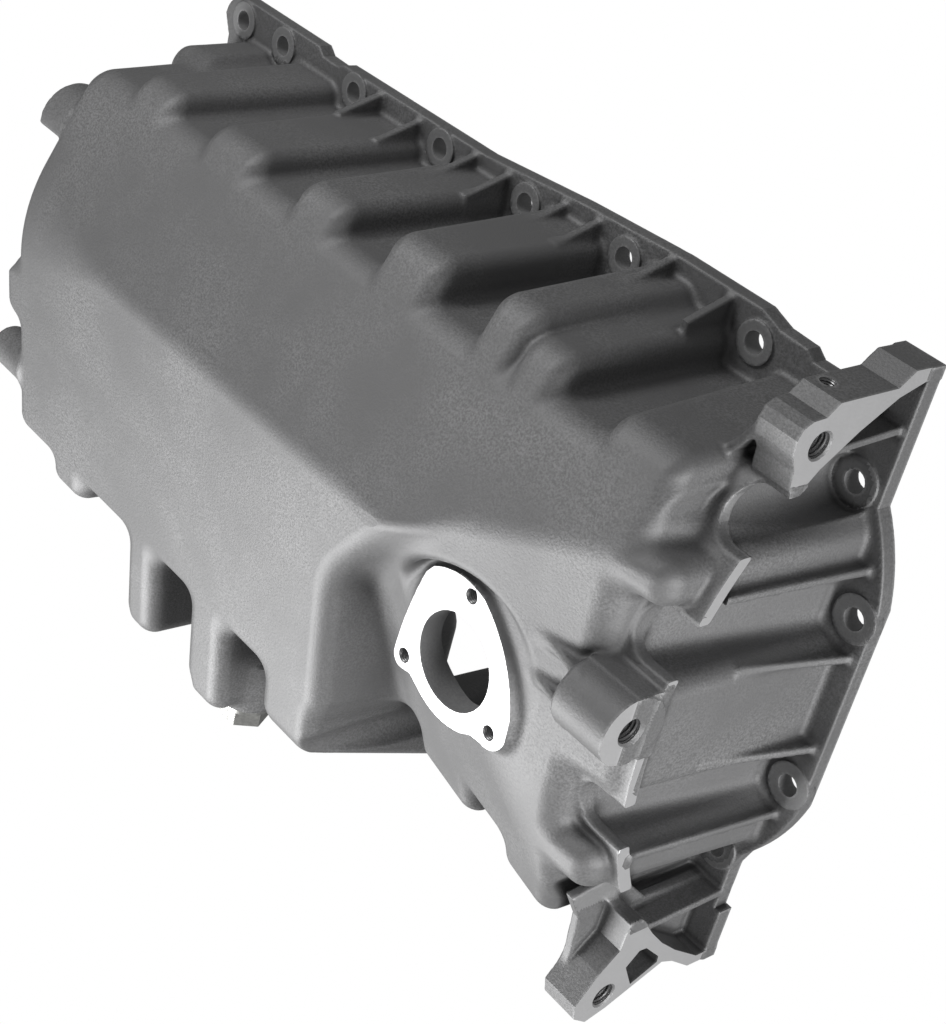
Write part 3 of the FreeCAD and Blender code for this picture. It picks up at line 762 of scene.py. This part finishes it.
def surface():
    """Corner points and four-sided faces of the pan, in millimetres.

    A corner point is the mean of its cell's crossings + the move that makes the sum of its
    squared distances to their planes + HOLD * squared move the least.
    """
    counts = np.ceil((HIGHS - LOWS) / GRID).astype(int) + 1
    origin = LOWS + GRID * SHIFT
    axes = [origin[i] + GRID * np.arange(counts[i]) for i in range(3)]
    values = pan_distance(Place(*[a.astype(np.float32) for a in axes], True))
    quads, places, fronts = [], [], []
    for axis in range(3):
        at, points, outward = crossings(values, origin, axis)
        b, c = (axis + 1) % 3, (axis + 2) % 3
        around = []
        for ob, oc in ((1, 1), (0, 1), (0, 0), (1, 0)):
            cell = at.copy()
            cell[:, b] -= ob
            cell[:, c] -= oc
            around.append((cell[:, 0] * counts[1] + cell[:, 1]) * counts[2] + cell[:, 2])
        quad = np.stack(around, axis=1)
        quad[~outward] = quad[~outward][:, ::-1]
        quads.append(quad)
        places.append(points)
        fronts.append(facing(points))
    quads, places, fronts = map(np.vstack, (quads, places, fronts))
    ids, index = np.unique(quads, return_inverse=True)
    faces = index.reshape(-1, 4)
    flat = faces.ravel()
    count = np.bincount(flat, minlength=len(ids)).astype(float)

    def gather(values):
        return np.bincount(flat, weights=np.repeat(values, 4), minlength=len(ids))

    mean = np.stack([gather(places[:, i]) for i in range(3)], axis=1) / count[:, None]
    offset = np.einsum("ij,ij->i", fronts, places)
    right = np.stack([gather(fronts[:, i] * offset) for i in range(3)], axis=1)
    matrix = np.empty((len(ids), 3, 3))
    for i in range(3):
        for j in range(i, 3):
            matrix[:, i, j] = matrix[:, j, i] = gather(fronts[:, i] * fronts[:, j])
    right -= np.einsum("nij,nj->ni", matrix, mean)
    move = np.linalg.solve(matrix + HOLD * np.eye(3), right[..., None])[..., 0]
    cell = np.stack([ids // (counts[1] * counts[2]), ids // counts[2] % counts[1],
                     ids % counts[2]], axis=1)
    low = origin + cell * GRID
    return np.clip(mean + move, low - MARGIN * GRID, low + (1 + MARGIN) * GRID), faces


points, faces = surface()
print("surface:", len(points), "points,", len(faces), "faces")

# %% [markdown]
# ## Triangles and shading
# A four-sided face that lies across a crisp edge can be cut along either diagonal, and only
# one of them follows the edge. You take the cut whose two triangles face the way the
# distance says. Each triangle's corners are then shaded by the slope just inside the
# triangle, so that a curved wall looks smooth and a milled edge stays sharp.

# %% Cut along the better diagonal
def cross_of(corners):
    """The cross product of two sides of each triangle."""
    return np.cross(corners[:, 1] - corners[:, 0], corners[:, 2] - corners[:, 0])


def front_of(corners):
    """Unit normals of triangles."""
    n = cross_of(corners)
    return n / np.maximum(np.linalg.norm(n, axis=1, keepdims=True), 1e-12)


def triangles(points, faces):
    """Two triangles for each face, cut along the diagonal that follows its crease."""
    def pair(first):
        a, b, c, d = (faces[:, (first + i) % 4] for i in range(4))
        return np.stack([a, b, c], axis=1), np.stack([a, c, d], axis=1)

    cuts = [pair(0), pair(1)]
    fronts = [[front_of(points[t]) for t in cut] for cut in cuts]
    bent = [np.einsum("ij,ij->i", *f) for f in fronts]
    crease = np.nonzero(np.minimum(*bent) < 0.985)[0]
    score = [np.zeros(len(faces)), np.zeros(len(faces))]
    for way in (0, 1):
        for part in (0, 1):
            corners = points[cuts[way][part][crease]]
            real = facing(corners.mean(axis=1))
            score[way][crease] += np.einsum("ij,ij->i", real, fronts[way][part][crease])
    second = score[1] > score[0] + 1e-3
    return np.vstack([np.where(second[:, None], cuts[1][part], cuts[0][part])
                      for part in (0, 1)])


def corner_fronts(points, tris):
    """The slope for each corner of each triangle, read a little way inside it."""
    corners = points[tris]
    middle = corners.mean(axis=1, keepdims=True)
    return facing((corners * 0.75 + middle * 0.25).reshape(-1, 3))


tris = triangles(points, faces)
tris = tris[np.linalg.norm(cross_of(points[tris]), axis=1) > 1e-7]
fronts = corner_fronts(points, tris)
print("triangles:", len(tris))

# %% [markdown]
# ## What the finish needs to know
# The mill and the drill leave bright metal and the mould leaves grey skin. Inner corners are
# painted darker, which is painted shade, and outer edges are painted paler, partly as rubbed
# wear and partly as a painted highlight. So each triangle is marked as milled or drilled by
# where it lies, and each point is marked by how hollow or how exposed its place is. The
# distance gives that at once: step out from the surface, and in a corner some other wall is nearer
# than the step was long.

# %% Marks for milled, drilled, hollow and exposed places
def near_bolt(middle, reach):
    """Is a point within reach, plus the bolt's own radius, of any bolt's axis?"""
    hit = np.zeros(len(middle), bool)
    for x, y, r in BOLTS:
        hit |= np.hypot(middle[:, 0] - x, middle[:, 1] - y) < r + reach
    return hit


def marks(points, tris):
    """For each triangle: on a milled face, on a spot face of a bolt, in a drilled hole."""
    middle, front = points[tris].mean(axis=1), front_of(points[tris])
    x, y, z = middle.T

    def on(axis, at, way, least=0.9):
        return (np.abs(middle[:, axis] - at) < 0.05) & (way * front[:, axis] > least)

    milled = on(2, 0, 1) | on(0, 0, 1, 0.9985) & (z < -7.5)
    milled |= on(2, PORT[2], -1) & (outline_distance(PAD_OUTLINE, x, y) < 0.2)
    milled |= on(1, DRAIN_FACE, 1) | on(0, HOOK_END, -1)
    spots = on(2, -FLANGE - SPOT, -1) & near_bolt(middle, 0.1)
    port = np.hypot(x - PORT[0], y - PORT[1])
    drilled = near_bolt(middle, BOLT_R - SPOT_R + 0.3) & (np.abs(front[:, 2]) < 0.5)
    drilled |= (np.abs(port - PORT_R) < 0.3) & (np.abs(front[:, 2]) < 0.5)
    for y0, z0 in (BLOCK_BOLT, NOSE_BOLT, FOOT_BOLT):
        drilled |= (np.hypot(y - y0, z - z0) < 5.9) & (np.abs(front[:, 0]) < 0.95) & (x > -22)
    return milled.astype(np.float32), spots.astype(np.float32), drilled.astype(np.float32)


def exposure(points):
    """How hollow and how exposed each point lies: distances after a step out and a step in."""
    front = facing(points)
    out, back = 4.0, 1.6
    # hollow feeds the painted shade in corners; exposed feeds the paler edges, partly wear and partly
    # a painted highlight.
    hollow = np.clip(1 - distance_at(points + front * out) / out, 0, 1)
    exposed = np.clip(1 + distance_at(points - front * back) / back, 0, 1)
    return hollow.astype(np.float32), exposed.astype(np.float32)


milled, spots, drilled = marks(points, tris)
hollow, exposed = exposure(points)
print("milled:", int(milled.sum()), "drilled:", int(drilled.sum()))

# %% [markdown]
# ## Four pieces
# Blender is happier with pieces of a moderate size, so the casting is divided along X. The
# pieces share their border points and their shading, so that no seam shows.

# %% Divide the casting
PARTS = ("pan_rear", "pan_sump", "pan_middle", "pan_front")


def add_mesh(name, points, tris, normals, face_marks, point_marks):
    """A mesh object from arrays in millimetres, with its shading and its marks."""
    used, index = np.unique(tris, return_inverse=True)
    mesh = bpy.data.meshes.new(name)
    mesh.vertices.add(len(used))
    mesh.vertices.foreach_set("co", (points[used] / 1000).astype(np.float32).ravel())
    mesh.loops.add(index.size)
    mesh.loops.foreach_set("vertex_index", index.ravel().astype(np.int32))
    mesh.polygons.add(len(tris))
    mesh.polygons.foreach_set("loop_start", np.arange(0, index.size, 3, dtype=np.int32))
    mesh.update(calc_edges=True)
    mesh.polygons.foreach_set("use_smooth", np.ones(len(tris), bool))
    for key, values in face_marks.items():
        mesh.attributes.new(key, "FLOAT", "FACE").data.foreach_set("value", values)
    for key, values in point_marks.items():
        mesh.attributes.new(key, "FLOAT", "POINT").data.foreach_set("value", values[used])
    mesh.normals_split_custom_set(normals)
    made = bpy.data.objects.new(name, mesh)
    bpy.context.scene.collection.objects.link(made)
    return made


def divide():
    """The casting as four meshes with about as many triangles each."""
    middle = points[tris].mean(axis=1)[:, 0]
    limits = np.quantile(middle, np.linspace(0, 1, len(PARTS) + 1))
    limits[-1] += 1
    made = []
    for name, low, high in zip(PARTS, limits, limits[1:]):
        pick = (middle >= low) & (middle < high)
        chosen = {"milled": milled[pick], "spot": spots[pick], "drilled": drilled[pick]}
        normals = fronts.reshape(-1, 3, 3)[pick].reshape(-1, 3)
        made.append(add_mesh(name, points, tris[pick], normals, chosen,
                             {"hollow": hollow, "exposed": exposed}))
    return made


pan = divide()
for piece in pan:
    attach(piece, "root")
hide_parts("oil_pan")
print({o.name: len(o.data.polygons) for o in pan})

# %% [markdown]
# ## A short way to write shaders
# A material is a graph of nodes. Written link by link it hides its own arithmetic, so one
# small class wraps a socket and lets you write sums as sums.

# %% Shader maths
class Sock:
    """A shader socket that can be added, multiplied and compared like a number."""

    def __init__(self, tree, socket):
        self.tree, self.socket = tree, socket

    def node(self, kind, settings, sockets, out=0):
        """Any node, with its settings by name and its sockets by name or number."""
        made = self.tree.nodes.new(kind)
        for key, value in settings.items():
            setattr(made, key, value)
        for key, value in sockets.items():
            self.plug(made.inputs[key], value)
        return Sock(self.tree, made.outputs[out])

    def plug(self, socket, value):
        """Links a socket, or sets a plain value."""
        if isinstance(value, Sock):
            self.tree.links.new(value.socket, socket)
        else:
            socket.default_value = value

    def math(self, operation, *values):
        """One operation on sockets and numbers."""
        return self.node("ShaderNodeMath", {"operation": operation}, dict(enumerate(values)))

    def __add__(self, other): return self.math("ADD", self, other)
    def __radd__(self, other): return self.math("ADD", other, self)
    def __sub__(self, other): return self.math("SUBTRACT", self, other)
    def __rsub__(self, other): return self.math("SUBTRACT", other, self)
    def __mul__(self, other): return self.math("MULTIPLY", self, other)
    def __rmul__(self, other): return self.math("MULTIPLY", other, self)

    def between(self, low, high):
        """0 below low, 1 above high, smooth in between."""
        return self.node("ShaderNodeMapRange", {"interpolation_type": "SMOOTHSTEP"},
                         {"Value": self, "From Min": low, "From Max": high})

    def colour(self, low, high):
        """A colour between low and high, by this mask."""
        return self.node("ShaderNodeMix", {"data_type": "RGBA"}, {0: self, 6: low, 7: high}, 2)

    def noise(self, scale, detail=2.0, rough=0.5):
        """Noise in object space; self is the vector."""
        return self.node("ShaderNodeTexNoise", {}, {"Vector": self, "Scale": scale,
                                                    "Detail": detail, "Roughness": rough})

    def mark(self, name):
        """A named value that the mesh carries."""
        return self.node("ShaderNodeAttribute", {"attribute_name": name}, {}, "Fac")

    def bumped(self, distance, strength):
        """Normals that follow this height, in metres at full strength."""
        return self.node("ShaderNodeBump", {}, {"Height": self, "Distance": distance,
                                                "Strength": strength})


def grey(value):
    """A grey with a trace of blue."""
    return (value, value, value * 1.01, 1.0)


def new_material(name):
    """A material with its shader, the object's own coordinates and a start socket."""
    material = bpy.data.materials.new(name)
    material.use_nodes = True
    tree = material.node_tree
    shader = tree.nodes["Principled BSDF"]
    place = Sock(tree, None).node("ShaderNodeTexCoord", {}, {}, "Object")
    return material, shader, place


# %% [markdown]
# ## Cast and milled aluminium
# The skin of a die casting is shot-blasted: a fine, even speckle of tiny dents. Corners are
# painted darker as painted shade, and edges paler, partly as rubbed wear and partly as a painted
# highlight. Milled faces are the bare metal, bright and with the faint rings of the cutter. One
# material does both, because on the real pan they are one piece of metal, and the marks on the
# mesh choose between them.

# %% Casting material
HOLLOW_SHADE, SKIN, SKIN_PALE, BRIGHT = 0.10, 0.235, 0.42, 0.72


def casting_material():
    """Shot-blasted skin and bare milled metal, chosen by the marks on the mesh."""
    material, shader, place = new_material("cast_aluminium")
    speckle = place.noise(1100, 3.0, 0.65)
    broad = place.noise(22, 3.0, 0.55)
    grain = speckle.between(0.30, 0.70)
    hollow, exposed = place.mark("hollow"), place.mark("exposed")
    milled, spot, drilled = place.mark("milled"), place.mark("spot"), place.mark("drilled")
    skin = grain.colour(grey(SKIN * 0.72), grey(SKIN * 1.30))
    skin = broad.between(0.25, 0.75).colour(grey(SKIN * 0.85), skin)
    # Painted shade: hollow places are mixed towards a dark grey.
    skin = hollow.between(0.05, 0.85).colour(skin, grey(HOLLOW_SHADE * 0.8))
    # Paler exposed edges: partly rubbed wear, partly a painted highlight.
    wear_and_highlight = exposed.between(0.25, 0.9) * (0.35 + 0.5 * grain)
    skin = wear_and_highlight.colour(skin, grey(SKIN_PALE))
    cutter = place.noise(160, 2.0, 0.5)
    metal = cutter.colour(grey(BRIGHT * 0.93), grey(BRIGHT))
    bare = milled.math("MAXIMUM", milled, drilled * 0.25)
    bare = bare.math("MAXIMUM", bare, spot * 0.22)
    place.plug(shader.inputs["Base Color"], bare.colour(skin, metal))
    place.plug(shader.inputs["Roughness"], 0.58 - 0.20 * bare + 0.06 * grain)
    place.plug(shader.inputs["Metallic"], 0.55 + 0.10 * bare)
    dents = speckle * (1 - bare * 0.92)
    place.plug(shader.inputs["Normal"], dents.bumped(0.0003, 0.55))
    return material


cast = casting_material()
for piece in pan:
    piece.data.materials.append(cast)
print("material:", cast.name, len(cast.node_tree.nodes), "nodes")

# %% [markdown]
# ## Threads
# A tapped hole shows its helix as fine bright lines. Each thread is a closed sleeve round the
# hole: its inner wall goes in and out with the helix, and its outer wall lies hidden in the
# metal.

# %% Threaded sleeves
LARGE, SMALL = (4.25, 4.95, 1.5), (2.45, 2.95, 1.0)
TURN, ROWS_PER_PITCH, RUN_OUT, SKIN_T = 48, 6, 0.4, 0.25


def sleeve(name, centre, axis, core, major, pitch, length):
    """A threaded ring swept round an axis.

    Inner radius = major - (major - core) * triangle wave of (distance / pitch + angle / full
    turn) * fade, and fade goes to 0 within RUN_OUT pitches of both ends.
    """
    rows = max(int(length / pitch * ROWS_PER_PITCH), 8)
    s = np.linspace(0, length, rows + 1)[:, None]
    angle = np.linspace(0, 2 * np.pi, TURN, endpoint=False)[None, :]
    wave = np.abs(((s / pitch + angle / (2 * np.pi)) % 1) * 2 - 1)
    fade = np.clip(np.minimum(s, length - s) / (RUN_OUT * pitch), 0, 1)
    inner = major - (major - core) * wave * fade
    outer = np.full((2, TURN), major + SKIN_T)
    radius = np.vstack([inner, outer])
    along = np.vstack([s, [[length], [0.0]]]) + 0 * angle
    u, v = radius * np.cos(angle), radius * np.sin(angle)
    a, b, c = np.roll(np.arange(3), -axis)
    out = np.empty(radius.shape + (3,))
    sign = 1.0 if axis == 2 else -1.0
    out[..., a] = centre[a] + sign * along
    out[..., b], out[..., c] = centre[b] + u, centre[c] + v
    total = len(radius)
    i, j = np.meshgrid(np.arange(total), np.arange(TURN), indexing="ij")
    i1, j1 = (i + 1) % total, (j + 1) % TURN
    quad = np.stack([i * TURN + j, i * TURN + j1, i1 * TURN + j1, i1 * TURN + j], axis=-1)
    quad = quad.reshape(-1, 4)
    if sign > 0:
        quad = quad[:, ::-1]
    mesh = bpy.data.meshes.new(name)
    mesh.from_pydata((out.reshape(-1, 3) / 1000).tolist(), [], quad.tolist())
    mesh.polygons.foreach_set("use_smooth", np.ones(len(quad), bool))
    made = bpy.data.objects.new(name, mesh)
    bpy.context.scene.collection.objects.link(made)
    return made


def thread_material():
    """Bright cut metal, darker than the milled faces."""
    material, shader, place = new_material("cut_thread")
    fine = place.noise(900, 2.0, 0.5)
    place.plug(shader.inputs["Base Color"], fine.colour(grey(0.22), grey(0.42)))
    place.plug(shader.inputs["Roughness"], 0.34 + 0.1 * fine)
    shader.inputs["Metallic"].default_value = 0.9
    return material


sleeves = [
    sleeve("thread_block", (-1.2, *BLOCK_BOLT), 0, *LARGE, 15.4),
    sleeve("thread_nose", (-1.2, *NOSE_BOLT), 0, *LARGE, 18.4),
    sleeve("thread_foot", (-1.2, *FOOT_BOLT), 0, *LARGE, 15.4),
    sleeve("thread_side", (-12.0, -114.8, -44.0), 1, *SMALL, 11.0)]
for n, (x, y) in enumerate(PORT_BOLTS):
    sleeves.append(sleeve(f"thread_port_{n + 1}", (x, y, PORT[2] + 0.3), 2, *SMALL, 7.4))
thread = thread_material()
for piece in sleeves:
    piece.data.materials.append(thread)
    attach(piece, "root")
print("threads:", len(sleeves))

# %% [markdown]
# ## Plug and sealing ring
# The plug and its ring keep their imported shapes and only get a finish. Next to nothing of
# them can be seen, so the plug is taken to be zinc-coated steel and the ring soft aluminium.

# %% Finish of the carried-over pieces
def turned_material(name, dark, pale, rough, metallic):
    """Turned metal: fine noise for the grain of the tool, a broad one for handling."""
    material, shader, place = new_material(name)
    grain, broad = place.noise(700, 3.0, 0.6), place.noise(60, 2.0, 0.5)
    tone = grain.between(0.3, 0.7) * 0.7 + broad * 0.3
    place.plug(shader.inputs["Base Color"], tone.colour(dark, pale))
    place.plug(shader.inputs["Roughness"], rough + 0.15 * broad)
    shader.inputs["Metallic"].default_value = metallic
    place.plug(shader.inputs["Normal"], grain.bumped(0.0001, 0.5))
    return material


finishes = {
    "drain_plug": turned_material("zinc_steel", (0.34, 0.34, 0.33, 1), (0.52, 0.52, 0.5, 1), 0.3, 0.9),
    "drain_plug_washer": turned_material("soft_aluminium", grey(0.5), grey(0.66), 0.35, 0.8)}
for name, material in finishes.items():
    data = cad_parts[name].data
    data.materials.clear()
    data.materials.append(material)
print("finishes:", sorted(finishes))
